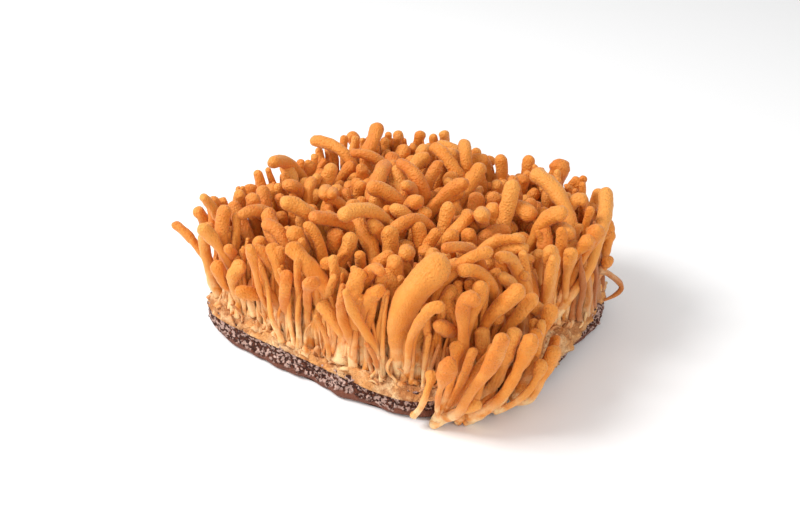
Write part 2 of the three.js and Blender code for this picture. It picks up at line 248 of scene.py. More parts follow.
# A set of clubs: the curve of each from root to tip, drawn towards bend, the radii of stem and
# head, the tuft it belongs to, and how far it gives way when it's pressed.
def clubSet(root, bend, tip, stem, head, tuft=None, weight=1.0):
    return {
        "tuft": nearestTuft(root) if tuft is None else tuft,
        "root": root,
        "bend": bend,
        "tip": tip,
        "stem": stem,
        "head": head,
        "weight": np.full(len(stem), weight),
    }


def placeLeaders():
    tuft = nearestTuft(leaders)
    centre = tufts["centre"][tuft]
    side = tufts["side"][tuft][:, None]
    slack = np.where(side, tuftLayout["sideRootSpread"], tuftLayout["rootSpread"])
    slack = slack + clubSize["stemRadius"] - leaders[:, 8:9]
    away = clampLength(leaders[:, :2] - centre[:, :2], np.maximum(slack, 0))
    height = np.where(side, tuftLayout["sideRootHeight"], tuftLayout["rootHeight"])
    start = centre + np.hstack([away, height])
    return clubSet(start, leaders[:, 2:5].copy(), leaders[:, 5:8].copy(), leaders[:, 8], leaders[:, 9],
                   tuft, settling["leaderWeight"])


# A club that stands close to the upper part of a leader stays lower than the leader does there.
def heightUnderLeaders(tip, height):
    share = np.linspace(overtopping["from"], 1, overtopping["samples"])
    points = curvePoints(leaderClubs, share[None]).reshape(-1, 3)
    close = np.linalg.norm(tip[:, None, :2] - points[None, :, :2], axis=2) < overtopping["within"]
    limits = np.where(close, points[None, :, 2] - overtopping["below"], np.inf).min(1)
    return np.maximum(overtopping["least"], np.minimum(height, limits))


# The clubs of a tuft that aren't leaders. A pair of numbers is a least value and a scattered part.
following = {
    "least": 2, "leastOnSide": 1,
    "turnShift": 0.7,
    "sector": 3.6,  # radians behind a rim tuft's leaders
    "sectorShift": (0.2, 0.6),
    "crowded": 4, "nearMiddle": 0.2,  # with more clubs than this, the first one stands near the middle
    "spread": (0.75, 0.25),
    "strongAbove": 0.62, "strongLean": 9, "lean": (2.5, 3),
    "reach": 2.6, "reachShare": (0.6, 0.6),
    "alongEdge": (5, 5),
    "shorter": 10, "strongShorter": 3, "outerShorter": (1, 4),
    "bendAt": (0.25, 0.2), "bendHeight": (0.5, 0.35),
    "sideHeight": (14, 20), "sideOut": 3, "sideBend": (4, 4), "sideBendHeight": 0.3, "sideAlong": (9, 7),
}


def varied(pair, seed, channel):
    return pair[0] + pair[1] * scatter(seed, channel)


# The other clubs stand round their tuft's centre: root on a circle, tip above it with a random lean,
# which on the rim never points outwards. A side tuft's clubs sweep round the cake towards +Y.
def placeFollowers(taken):
    look = following
    free = np.maximum(np.where(tufts["side"], look["leastOnSide"], look["least"]), tufts["clubs"] - taken)
    tuft = np.repeat(np.arange(len(free)), free)
    k = np.concatenate([np.arange(count) for count in free])
    seed = tuft * 10 + k
    centre, side, rim = tufts["centre"][tuft], tufts["side"][tuft], tufts["rim"][tuft]
    outward = edgeNormal(centre)

    turn = 2 * math.pi * (k + look["turnShift"] * scatter(tuft, 1)) / free[tuft] + scatter(seed, 2)
    sector = look["sector"] * ((k + varied(look["sectorShift"], seed, 2)) / free[tuft] - 0.5)
    behind = rim & ~side & (taken[tuft] > 0)
    turn = np.where(behind, np.arctan2(-outward[:, 1], -outward[:, 0]) + sector, turn)
    way = turned(turn)
    middle = np.where((k == 0) & (free[tuft] > look["crowded"]), look["nearMiddle"], 1)
    widest = np.where(side, tuftLayout["sideRootSpread"], tuftLayout["rootSpread"])
    start = centre + way * (widest * middle * varied(look["spread"], seed, 3))[:, None]
    start[:, 2] += np.where(side, tuftLayout["sideRootHeight"], tuftLayout["rootHeight"])

    strong = scatter(seed, 4) > look["strongAbove"]
    leanTurn = 2 * math.pi * scatter(seed, 5)
    lean = (varied(look["lean"], seed, 6) + look["strongLean"] * strong)[:, None] * turned(leanTurn)
    lean = keptInside(lean, outward, rim)
    reach = look["reach"] * middle * varied(look["reachShare"], seed, 7)
    facing = rim * np.maximum(0, (way * outward).sum(1))
    tip = start + way * reach[:, None] + lean
    tip = tip + towardsCorner(centre, outward) * (rim * varied(look["alongEdge"], seed, 8))[:, None]
    shorter = (look["shorter"] * scatter(seed, 9) ** 2 + look["strongShorter"] * strong
               + facing * varied(look["outerShorter"], seed, 10))
    tip[:, 2] = heightUnderLeaders(tip, clubSize["canopyHeight"] - shorter)
    bend = start + (tip - start) * varied(look["bendAt"], seed, 11)[:, None]
    bend[:, 2] = start[:, 2] + (tip[:, 2] - start[:, 2]) * varied(look["bendHeight"], seed, 12)

    height = varied(look["sideHeight"], seed, 9)
    away = unit(start * [1, 1, 0])
    along = quarterTurn(away)
    sideBend = start + away * look["sideOut"] + along * varied(look["sideBend"], seed, 15)[:, None]
    sideBend[:, 2] += look["sideBendHeight"] * height
    sideTip = start + away + along * varied(look["sideAlong"], seed, 16)[:, None]
    sideTip[:, 2] += height
    bend = np.where(side[:, None], sideBend, bend)
    tip = np.where(side[:, None], sideTip, tip)
    stem = clubSize["stemRadius"] + clubSize["stemRange"] * scatter(seed, 13)
    head = clubSize["headRadius"] + clubSize["headRange"] * scatter(seed, 14)
    return clubSet(start, bend, tip, stem, head, tuft)


def joinClubs(*groups):
    return {key: np.concatenate([group[key] for group in groups]) for key in groups[0]}


# Quadratic curve from root to tip, drawn towards bend: (1-t)^2 root + 2t(1-t) bend + t^2 tip.
def curvePoints(clubs, t):
    t = np.broadcast_to(t, (len(clubs["stem"]), np.shape(t)[-1]))[..., None]
    rootPull, bendPull, tipPull = (1 - t) ** 2, 2 * t * (1 - t), t * t
    return (rootPull * clubs["root"][:, None] + bendPull * clubs["bend"][:, None]
            + tipPull * clubs["tip"][:, None])


def curveLength(clubs):
    sides = [("root", "bend"), ("bend", "tip"), ("root", "tip")]
    return sum(np.linalg.norm(clubs[a] - clubs[b], axis=1) for a, b in sides) / 2


# Stem radius that swells into the head by a smooth step, and a round end where the tip is near.
def plainRadius(clubs, t):
    swell = smoothStep((t - clubSize["swellStart"]) / clubSize["swellLength"])
    stem, head, length = clubs["stem"][:, None], clubs["head"][:, None], curveLength(clubs)[:, None]
    radius = stem + (head - stem) * swell
    inCap = np.maximum(0, 1 - (1 - t) * length / radius)
    return radius * np.sqrt(1 - inCap ** 2)


# Crowded clubs press each other aside until they only touch: each pair of samples that come too
# close is pushed apart, and the push is shared between bend and tip by the curve's own weights.
def settle(clubs, rounds, gap, grownFirst=0):
    shares = np.linspace(settling["from"], settling["to"], settling["samples"])
    middle = curvePoints(clubs, np.array([settling["middle"]]))[:, 0]
    first, second = np.triu_indices(len(middle), 1)
    near = np.linalg.norm(middle[first] - middle[second], axis=1) < settling["reach"]
    near &= second >= grownFirst
    first, second = first[near], second[near]
    radii = plainRadius(clubs, shares[None])
    room = radii[first][:, :, None] + radii[second][:, None, :] + gap
    together = clubs["tuft"][first] == clubs["tuft"][second]
    count = len(shares)
    atFoot = np.zeros((count, count), bool)
    atFoot[0, :] = atFoot[:, 0] = True
    skip = together[:, None, None] & atFoot
    weight = clubs["weight"]
    share = (weight[first] / (weight[first] + weight[second]))[:, None]
    bendPull, tipPull = 2 * shares * (1 - shares), shares ** 2
    for number in range(rounds):
        points = curvePoints(clubs, shares[None])
        if number % settling["lookEvery"] == 0:  # the rounds between skip pairs that are far apart here
            apart = points[first][:, :, None] - points[second][:, None]
            spare = np.linalg.norm(apart, axis=3) - room
            live = (spare < settling["nearlyTouching"]).any((1, 2))
            one, two = first[live], second[live]
        apart = points[one][:, :, None] - points[two][:, None]
        distance = np.maximum(np.linalg.norm(apart, axis=3), 0.01)
        overlap = np.where(skip[live], 0, np.maximum(room[live] - distance, 0))
        push = apart * (settling["pace"] * overlap / distance)[..., None]
        onFirst, onSecond = push.sum(2), push.sum(1)
        for key, pull in (("bend", bendPull), ("tip", tipPull)):
            total = np.zeros_like(clubs[key])
            np.add.at(total, one, share[live] * np.einsum("pmk,m->pk", onFirst, pull))
            np.add.at(total, two, (share[live] - 1) * np.einsum("pnk,n->pk", onSecond, pull))
            clubs[key] = clubs[key] + clampLength(total, settling["longestStep"])
    return clubs


leaderClubs = placeLeaders()
taken = np.bincount(leaderClubs["tuft"], minlength=len(tufts["clubs"]))
crop = settle(joinClubs(leaderClubs, placeFollowers(taken)), settling["rounds"], settling["gap"])
grownCount = len(crop["stem"])
print("crop laid out:", grownCount, "clubs in", len(tufts["clubs"]), "tufts")

# Smaller growth that only the fine model has, drawn from one row of random numbers.

rng = np.random.default_rng(11)
footDepth = 0.5  # how far roots reach into the mat
bareEdge = 5  # how much further in growth starts at the right-hand side, where the mat lies open


def spreadOf(low, high, count):
    return rng.uniform(low, high, count)


# Draws one number for each club from the range that a look has under a key.
def drawer(look, count):
    return lambda key: spreadOf(*look[key], count)


def anyTurn(count):
    return spreadOf(0, 2 * math.pi, count)


# Clubs from their roots, once tips and bends are raised by a height and by a share of it.
def raised(start, bend, tip, height, bendShare, stem, swell):
    tip[:, 2] += height
    bend[:, 2] += height * bendShare
    return clubSet(start, bend, tip, stem, stem * swell)


def nudge(size, count):
    return rng.normal(0, size, (count, 3)) * [1, 1, 0]


# How near polar angles are to one of them: a bell curve, exp(-(difference / width)^2).
def nearAngle(angle, centre, width):
    return np.exp(-((np.mod(angle - centre + math.pi, 2 * math.pi) - math.pi) / width) ** 2)


rightSide = (-0.05, 0.4)  # radians: the angle and the width of the side where the mat lies open


def toRightSide(angle):
    return nearAngle(angle, *rightSide)


fillers = {
    "most": 170, "smallestGap": 1.5, "stem": (0.9, 1.5), "head": (1.9, 3.0), "lower": (0.5, 6.0),
    "lean": (4, 12), "rounds": 24, "gap": 0.1, "step": 1.5, "half": 66, "overhang": 1,
    "shares": [0.6, 0.7, 0.8, 0.88, 0.96], "headsAbove": 30, "fit": 0.95, "rootInset": 6,
    "bendAt": (0.1, 0.5), "bendHeight": (24, 44),
}


# Clubs that fill the gaps in the canopy. The widest gap between the heads, seen from above, gets
# the next tip, and its root stands a short way off on the mat.
def placeFillers():
    x = np.arange(-fillers["half"], fillers["half"] + 1, fillers["step"])
    spots = np.stack(np.meshgrid(x, x, indexing="ij"), -1).reshape(-1, 2)
    angle = np.arctan2(spots[:, 1], spots[:, 0])
    spots = spots[np.linalg.norm(spots, axis=1) < edgeRadius(angle) + fillers["overhang"]]
    shares = np.array(fillers["shares"])
    heads = curvePoints(crop, shares[None])
    high = heads[..., 2] > fillers["headsAbove"]
    heads, radii = heads[high][:, :2], plainRadius(crop, shares[None])[high]
    clear = (np.linalg.norm(spots[:, None] - heads[None], axis=2) - radii[None]).min(1)
    tips, sizes = [], []
    while len(tips) < fillers["most"] and clear.max() > fillers["smallestGap"]:
        best = clear.argmax()
        size = min(max(clear[best] * fillers["fit"], fillers["head"][0]), fillers["head"][1])
        tips.append(spots[best])
        sizes.append(size)
        clear = np.minimum(clear, np.linalg.norm(spots - spots[best], axis=1) - size)
    count = len(tips)
    draw = drawer(fillers, count)
    tip = np.hstack([tips, clubSize["canopyHeight"] - draw("lower")[:, None]])
    start = tip - turned(anyTurn(count)) * draw("lean")[:, None]
    angle = np.arctan2(start[:, 1], start[:, 0])
    inside = (edgeRadius(angle) - fillers["rootInset"]) / np.linalg.norm(start[:, :2], axis=1)
    start[:, :2] *= np.minimum(1, inside)[:, None]
    start[:, 2] = block["matTop"] + 1
    bend = start + (tip - start) * draw("bendAt")[:, None]
    bend[:, 2] = draw("bendHeight")
    return clubSet(start, bend, tip, draw("stem"), np.array(sizes))


fingers = {
    "count": 60, "inset": 5, "height": (45, 52), "fall": (9, 22), "run": (1, 7), "arch": (0, 6),
    "stem": (1.5, 2.1), "head": (2.2, 3.0),
}


# Long clubs that bend over at the top and lie across the canopy: up from the mat to the bend,
# then sideways to the tip.
def placeFingers():
    count = fingers["count"]
    draw = drawer(fingers, count)
    angle = anyTurn(count)
    share = np.sqrt(spreadOf(0, 1, count))
    tip = turned(angle) * ((edgeRadius(angle) - fingers["inset"]) * share)[:, None]
    way = turned(anyTurn(count))
    way = np.where((way * tip).sum(1, keepdims=True) > 0, way, -way)
    bend = tip - way * draw("fall")[:, None]
    start = bend - way * draw("run")[:, None]
    tip[:, 2] = draw("height")
    bend[:, 2] = tip[:, 2] + draw("arch")
    start[:, 2] = block["matTop"] + 1
    return clubSet(start, bend, tip, draw("stem"), draw("head"))


# The full-grown clubs hardly give way to the ones that are added.
grownWeight = 0.02
crop["weight"] = crop["weight"] * grownWeight
crop = joinClubs(crop, placeFillers(), placeFingers())
crop = settle(crop, fillers["rounds"], fillers["gap"], grownCount)
print("canopy filled:", len(crop["stem"]) - grownCount, "more clubs")

rimClubs = {
    "count": 200, "inset": (2, 11), "tall": 0.88, "height": (24, 38), "lowHeight": (6, 17),
    "stem": (0.7, 1.15), "head": (1.2, 2.1), "lowSize": 0.7, "out": (-4, 1), "aside": (-4, 4),
    "spill": 0.1, "bendAt": 0.3, "bendOut": (-1, 1.5), "bendHeight": (0.5, 1.05),
}


# Slender clubs along the rim, in front of the full-grown ones, some of them short. Their roots
# follow the edge, and they lean a little to one side.
def placeRimClubs():
    look, count = rimClubs, rimClubs["count"]
    draw = drawer(look, count)
    angle = (np.arange(count) + spreadOf(0, 1, count)) / count * 2 * math.pi
    inset = draw("inset") + bareEdge * toRightSide(angle)
    start = rootsAt(angle, inset, block["matTop"] - footDepth)
    outward = edgeNormal(start)
    tall = rng.random(count) < look["tall"]
    height = np.where(tall, draw("height"), draw("lowHeight"))
    size = np.where(tall, 1, look["lowSize"])
    tip = start + outward * draw("out")[:, None]
    tip = tip + quarterTurn(outward) * draw("aside")[:, None]
    tip = tip + towardsCorner(start, outward) * (height * look["spill"])[:, None]
    tip[:, 2] += height
    bend = start + (tip - start) * look["bendAt"] + outward * draw("bendOut")[:, None]
    bend[:, 2] = start[:, 2] + height * draw("bendHeight")
    return clubSet(start, bend, tip, draw("stem") * size, draw("head") * size)


fan = {
    "count": 12, "angle": (-54, -20), "standOff": (0.5, 4), "height": (0.5, 5), "rise": (14, 34),
    "out": (1, 7), "along": (5, 17), "stem": (1.0, 1.5), "head": (1.8, 2.5),
    "bendAt": (0.5, 0.8), "bendOut": 2, "bendHeight": (0.2, 0.45),
}


# Clubs that cling to the cake's side at the rounded corner and sweep up round it towards +Y.
def placeFan():
    count = fan["count"]
    draw = drawer(fan, count)
    angle = np.radians(draw("angle"))
    outward, along = turned(angle), turned(angle + math.pi / 2)
    start = rootsAt(angle, -draw("standOff"), draw("height"))
    rise = draw("rise")
    tip = start + outward * draw("out")[:, None] + along * draw("along")[:, None]
    bend = start + (tip - start) * draw("bendAt")[:, None] + outward * fan["bendOut"]
    tip[:, 2] += rise
    bend[:, 2] = start[:, 2] + rise * draw("bendHeight")
    return clubSet(start, bend, tip, draw("stem"), draw("head"))


crop = joinClubs(crop, placeRimClubs(), placeFan())
clubCount = len(crop["stem"])

stalks = {
    "bundles": 76, "each": 5, "inset": (1.5, 8), "foot": 1.1, "fanOut": 3.2, "height": (13, 33),
    "stem": (0.45, 0.95), "swell": (1.0, 1.5), "inwards": 1.5, "spill": 0.12,
    "bendAt": (0.1, 0.9), "bendHeight": (0.4, 0.8),
}


# Bundles of slender stalks along the rim. Those of one bundle share a foot and fan out from it.
def placeStalks():
    look, bundles = stalks, stalks["bundles"]
    count = bundles * look["each"]
    draw = drawer(look, count)
    bundle = np.arange(count) // look["each"]
    angle = ((np.arange(bundles) + spreadOf(0, 1, bundles)) / bundles * 2 * math.pi)[bundle]
    inset = spreadOf(*look["inset"], bundles)[bundle] + bareEdge * toRightSide(angle)
    start = rootsAt(angle, inset, block["matTop"] - footDepth) + nudge(look["foot"], count)
    outward = edgeNormal(start)
    height = draw("height")
    spread = keptInside(nudge(look["fanOut"], count), outward, 1)
    tip = start + spread - outward * look["inwards"]
    tip = tip + towardsCorner(start, outward) * (height * look["spill"])[:, None]
    bend = start + spread * draw("bendAt")[:, None]
    return raised(start, bend, tip, height, draw("bendHeight"), draw("stem"), draw("swell"))


strands = {
    "rim": 260, "inner": 260, "radius": (0.22, 0.62), "swell": (0.6, 1.5), "height": (4, 28),
    "rimInset": (0.8, 9), "innerInset": (9, 30), "rimHeight": (0.5, 1), "footDepth": 0.4,
    "wander": 2.25, "bendWander": 2.7, "bendHeight": (0.4, 0.9),
}


# Thin pale strands between the feet: root on the mat, most of them near the rim, wandering up.
def placeStrands():
    look, count = strands, strands["rim"] + strands["inner"]
    draw = drawer(look, count)
    angle = anyTurn(count)
    atRim = np.arange(count) < look["rim"]
    inset = np.where(atRim, draw("rimInset"), draw("innerInset"))
    start = rootsAt(angle, inset + bareEdge * toRightSide(angle), block["matTop"] - look["footDepth"])
    height = draw("height") * np.where(atRim, draw("rimHeight"), 1)
    tip = start + nudge(look["wander"], count)
    bend = start + nudge(look["bendWander"], count)
    return raised(start, bend, tip, height, draw("bendHeight"), draw("radius"), draw("swell"))


dried = {
    "count": 11, "angle": (10, 36), "inset": (-0.5, 3), "height": (20, 37), "lean": 4,
    "stem": (0.8, 1.3), "swell": 1.1, "aside": (-1, 1), "inwards": (0, 1), "bow": (-3, 3),
    "bendHeight": (0.4, 0.7),
    "loop": [(60.5, 30, 26), (70, 50, 13), (61, 35, 11)],  # a curl's root, bend and tip
}


# Dried brown stems that stand close together at the right-hand edge, and one that hangs out as a curl.
def placeDried():
    look, count = dried, dried["count"]
    draw = drawer(look, count)
    angle = np.radians(draw("angle"))
    outward, along = turned(angle), turned(angle + math.pi / 2)
    start = rootsAt(angle, draw("inset"), block["matTop"] - footDepth)
    lean = along * draw("aside")[:, None] - outward * draw("inwards")[:, None]
    tip = start + lean * look["lean"]
    bend = start + lean * draw("bow")[:, None]
    height = draw("height")
    tip[:, 2] += height
    bend[:, 2] += height * draw("bendHeight")
    start[0], bend[0], tip[0] = look["loop"]
    size = draw("stem")
    return clubSet(start, bend, tip, size, size * look["swell"])


curls = {
    "count": 130, "radius": (0.25, 0.55), "thinning": 0.9, "reach": (2, 6), "rise": (1.5, 5),
    "inset": (0.5, 4), "footDepth": 0.6, "tipOut": (-1.5, 1.2), "tipDrop": (0, 1.5), "bendOut": (-1, 3),
}


# Dried peels and curled threads that lie along the mat's edge, each one a low arch.
def placeCurls():
    look, count = curls, curls["count"]
    draw = drawer(look, count)
    angle = anyTurn(count)
    outward, along = turned(angle), turned(angle + math.pi / 2)
    start = rootsAt(angle, draw("inset"), block["matTop"] - look["footDepth"])
    reach = draw("reach") * rng.choice([-1, 1], count)
    tip = start + along * reach[:, None] + outward * draw("tipOut")[:, None]
    tip[:, 2] -= draw("tipDrop")
    bend = (start + tip) / 2 + outward * draw("bendOut")[:, None]
    bend[:, 2] += draw("rise")
    size = draw("radius")
    return clubSet(start, bend, tip, size, size * look["thinning"])


stalkClubs = placeStalks()
driedClubs = placeDried()
threads = joinClubs(placeStrands(), placeCurls())

# The skin of a club: lengths in millimetres, places along it as shares of its length.
clubLook = {
    "flare": 0.45, "flareLength": 2.5,
    "wave": (0.25, 0.9), "waveLength": 26, "waveFrom": 0.2, "waveFade": 0.6,
    "bluntness": 0.97, "mostCap": 0.35, "capTaper": 0.8,
    "hook": (2.0, 7.0), "hookFrom": 0.35, "hookDown": 0.6,
    "taperFrom": 0.7, "thinBelow": 0.6,
    "curveSamples": 65,
    # lumps: whole waves round the club, wavelength along it, height as a share of the radius
    "lumps": [(1, 17, 0.045), (2, 12, 0.05), (2, 6.5, 0.035), (3, 5.2, 0.035), (4, 3.6, 0.022),
              (5, 2.8, 0.018)],
    "lumpTurn": 1.5,
    "thinned": 0.4,  # how much of its flatness a club loses across
    "lowest": 0.1,  # above the table
}


# Traits that differ for some kinds. None of those kinds hooks over.
kindTraits = {
    "dried": {"flat": (0.1, 0.5), "groove": (0.15, 0.3), "taper": (0.4, 0.7), "dry": (0.5, 1)},
    "thread": {"wave": (0.3, 1.6), "flat": (0, 0.8), "swellStart": (0.5, 0.8), "dry": (0, 0.6)},
}


# What sets one club apart from the next: where it swells, how it waves, hooks, flattens and colours.
def clubTraits(clubs, kind):
    count = len(clubs["stem"])
    atRim = tufts["rim"][clubs["tuft"]]

    def byRim(onRim, elsewhere=None):
        drawn = spreadOf(*onRim, count)
        return np.where(atRim, drawn, spreadOf(*elsewhere, count) if elsewhere else 1)

    def forSome(share, low, high):
        return np.where(rng.random(count) < share, spreadOf(low, high, count), 0)

    traits = {
        "headSize": byRim((0.78, 0.98)),
        "stemSize": byRim((1.0, 1.25)),
        "swellStart": byRim((0.5, 0.78), (0.35, 0.65)),
        "swellLength": byRim((0.1, 0.28), (0.16, 0.32)),
        "wave": spreadOf(*clubLook["wave"], count),
        "wavePhase": spreadOf(0, 2 * math.pi, (count, 4)),
        "hookTurn": anyTurn(count),
        "hook": forSome(0.55, *clubLook["hook"]),
        "thinRoot": spreadOf(0, 0.3, count),
        "flat": spreadOf(0, 0.14, count),
        "groove": forSome(0.4, 0.05, 0.16),
        "grooves": rng.integers(2, 5, count),
        "lumpPhase": spreadOf(0, 2 * math.pi, (count, len(clubLook["lumps"]), 2)),
        "lumpy": spreadOf(0.5, 1.4, count),
        "taper": forSome(0.2, 0.1, 0.4),
        "tone": rng.random(count),
        "dry": np.zeros(count),
    }
    for key, limits in kindTraits.get(kind, {}).items():
        traits[key] = spreadOf(*limits, count)
        traits["hook"][:] = 0
    return traits


# A club's skin. Rings run up the curve at even distances, waved sideways and hooked near the tip.
# The radius swells from stem to head, flares at the foot and closes in a round cap: the last rings
# stand at the tip's distance times 1 - sin(phi) and shrink with cos(phi). Sines of the angle
# and of the length add lumps and grooves.
def clubSkin(clubs, traits, rings, capRings, sides):
    look = clubLook
    trait = {key: value[:, None] for key, value in traits.items() if value.ndim == 1}
    head = clubs["head"][:, None] * trait["headSize"]
    stem = clubs["stem"][:, None] * trait["stemSize"]
    fine = np.linspace(0, 1, look["curveSamples"])
    steps = np.linalg.norm(np.diff(curvePoints(clubs, fine[None]), axis=1), axis=2)
    covered = np.hstack([np.zeros((len(steps), 1)), np.cumsum(steps, axis=1)])
    length = covered[:, -1:]
    capShare = np.minimum(look["mostCap"], head * (1 - look["capTaper"] * trait["taper"]) / length)
    body = np.linspace(0, 1, rings - capRings)[None] * (1 - capShare)
    phi = np.linspace(0, math.pi / 2, capRings + 2)[None, 1:-1]
    cap = 1 - capShare * (1 - np.sin(phi))
    t = np.hstack([body, cap, np.ones_like(length)])
    curveShare = np.stack([np.interp(row, known, fine) for row, known in zip(t * length, covered)])
    closing = np.hstack([np.ones_like(body), np.broadcast_to(np.cos(phi) ** look["bluntness"], cap.shape),
                         np.zeros_like(length)])

    sweep = unit(np.cross(clubs["bend"] - clubs["root"], clubs["tip"] - clubs["bend"]) + [1e-4, 0, 0])
    middle = curvePoints(clubs, curveShare)
    across = unit(np.cross(unit(clubs["tip"] - clubs["root"]), sweep))
    envelope = np.minimum(1, t / look["waveFrom"]) * (1 - look["waveFade"] * t)
    phase = traits["wavePhase"]
    waves = 2 * math.pi * (length / look["waveLength"] * t)
    for k, way in enumerate((sweep, across)):
        swing = np.sin(waves + phase[:, k:k + 1]) * envelope * trait["wave"]
        middle = middle + way[:, None] * swing[..., None]
    bow = np.maximum(0, (t - look["hookFrom"]) / (1 - look["hookFrom"])) ** 2 * trait["hook"]
    hookWay = keptInside(turned(traits["hookTurn"]), edgeNormal(clubs["root"]), tufts["rim"][clubs["tuft"]])
    middle = middle + (hookWay - [0, 0, look["hookDown"]])[:, None] * bow[..., None]

    tangent = unit(np.gradient(middle, axis=1))
    side = unit(sweep[:, None] - (sweep[:, None] * tangent).sum(2, keepdims=True) * tangent)
    up = np.cross(tangent, side)

    swell = smoothStep((t - trait["swellStart"]) / trait["swellLength"])
    radius = stem + (head - stem) * swell
    radius = radius * (1 - trait["taper"] * smoothStep((t - look["taperFrom"]) / (1 - look["taperFrom"])))
    radius = radius * (1 - trait["thinRoot"] * (1 - smoothStep(t / look["thinBelow"])))
    travelled = t * length
    radius = radius * (1 + look["flare"] * np.exp(-travelled / look["flareLength"])) * closing

    theta = np.linspace(0, 2 * math.pi, sides, endpoint=False)[None, None]
    ripple = np.ones((len(t), t.shape[1], sides))
    for number, (around, wavelength, size) in enumerate(look["lumps"]):
        turn = traits["lumpPhase"][:, number, 0, None, None]
        start = traits["lumpPhase"][:, number, 1, None, None]
        beat = np.sin(2 * math.pi * travelled[..., None] / wavelength + start)
        wave = np.sin(around * theta + turn + beat * look["lumpTurn"])
        ripple = ripple + size * trait["lumpy"][..., None] * wave
    furrow = np.cos(trait["grooves"][..., None] * theta + phase[:, 2, None, None])
    ripple = ripple + trait["groove"][..., None] * (1 - swell)[..., None] * furrow
    reach = radius[..., None] * ripple
    flat = trait["flat"][..., None]
    wide = reach * np.cos(theta) * (1 + flat)
    thin = reach * np.sin(theta) * (1 - look["thinned"] * flat)
    points = middle[:, :, None] + side[:, :, None] * wide[..., None] + up[:, :, None] * thin[..., None]
    points[..., 2] = np.maximum(points[..., 2], look["lowest"])  # what would reach below lies on the table

    values = {"fromRoot": travelled, "headShare": swell, "tone": trait["tone"], "dry": trait["dry"]}
    shade = {key: np.broadcast_to(value[..., None], ripple.shape) for key, value in values.items()}
    return points, shade


# Faces of a stack of rings that closes on a pole at each end. The pole rings are single points.
def stackFaces(rings, sides):
    k = np.arange(sides)
    nextK = (k + 1) % sides
    row = np.arange(rings - 1)[:, None] * sides
    quads = np.stack([row + k, row + nextK, row + nextK + sides, row + k + sides], -1).reshape(-1, 4)
    bottom, top = rings * sides, rings * sides + 1
    last = (rings - 1) * sides
    triangles = np.vstack([
        np.stack([np.full(sides, bottom), nextK, k], 1),
        np.stack([last + k, last + nextK, np.full(sides, top)], 1),
    ])
    return quads, triangles


def makeMesh(name, points, quads, triangles, shade, material):
    mesh = bpy.data.meshes.new(name)
    mesh.vertices.add(len(points))
    mesh.vertices.foreach_set("co", (points * mm).astype(np.float32).ravel())
    mesh.loops.add(quads.size + triangles.size)
    corners = np.concatenate([quads.ravel(), triangles.ravel()])
    mesh.loops.foreach_set("vertex_index", corners.astype(np.int32))
    starts = np.concatenate([np.arange(len(quads)) * 4, quads.size + np.arange(len(triangles)) * 3])
    mesh.polygons.add(len(starts))
    mesh.polygons.foreach_set("loop_start", starts.astype(np.int32))
    mesh.update(calc_edges=True)
    mesh.polygons.foreach_set("use_smooth", np.ones(len(starts), bool))
    for key, values in shade.items():
        layer = mesh.attributes.new(key, "FLOAT", "POINT")
        layer.data.foreach_set("value", values.astype(np.float32).ravel())
    mesh.materials.append(material)
    piece = bpy.data.objects.new(name, mesh)
    bpy.context.scene.collection.objects.link(piece)
    return piece


# The skins of several clubs as one set of points and faces. The last ring of each is its top pole,
# and the middle of the first ring is its bottom pole.
def skinParts(points, shade):
    count, rings, sides = points.shape[:3]
    ring = points[:, :-1]
    poles = np.stack([points[:, 0].mean(1), points[:, -1].mean(1)], 1)
    allPoints = np.concatenate([ring.reshape(count, -1, 3), poles], 1)
    quads, triangles = stackFaces(rings - 1, sides)
    offset = (np.arange(count) * allPoints.shape[1])[:, None, None]
    values = {}
    for key, value in shade.items():
        ends = np.stack([value[:, 0, 0], value[:, -1, 0]], 1)
        values[key] = np.concatenate([value[:, :-1].reshape(count, -1), ends], 1).reshape(-1)
    return (allPoints.reshape(-1, 3), (quads[None] + offset).reshape(-1, 4),
            (triangles[None] + offset).reshape(-1, 3), values)


# The materials.

# A node group that puts out a mask: a texture on object coordinates, cut off smoothly. Its inputs
# feed the texture's sockets of the same name, or the ends of the cut.
def maskGroup(name, texture, reading, inputs, cutEnds, shades):
    group = bpy.data.node_groups.new(name, "ShaderNodeTree")
    for label, default in inputs.items():
        socket = group.interface.new_socket(label, in_out="INPUT", socket_type="NodeSocketFloat")
        socket.default_value = default
    group.interface.new_socket("Mask", in_out="OUTPUT", socket_type="NodeSocketFloat")
    nodes, link = group.nodes, group.links.new
    inside, outside = nodes.new("NodeGroupInput"), nodes.new("NodeGroupOutput")
    place, pattern, cut = [nodes.new(f"ShaderNode{kind}") for kind in ("TexCoord", texture, "MapRange")]
    cut.interpolation_type = "SMOOTHSTEP"
    cut.inputs["To Min"].default_value, cut.inputs["To Max"].default_value = shades
    link(place.outputs["Object"], pattern.inputs["Vector"])
    link(pattern.outputs[reading], cut.inputs["Value"])
    for label in inputs:
        target = cut.inputs[cutEnds[label]] if label in cutEnds else pattern.inputs[label]
        link(inside.outputs[label], target)
    link(cut.outputs["Result"], outside.inputs["Mask"])
    return group


softPatches = maskGroup("softPatches", "TexNoise", "Fac",
                        {"Scale": 300, "Detail": 3, "Low": 0.4, "High": 0.6},
                        {"Low": "From Min", "High": "From Max"}, (0, 1))
smallDots = maskGroup("smallDots", "TexVoronoi", "Distance",
                      {"Scale": 900, "Size": 0.35}, {"Size": "From Max"}, (1, 0))


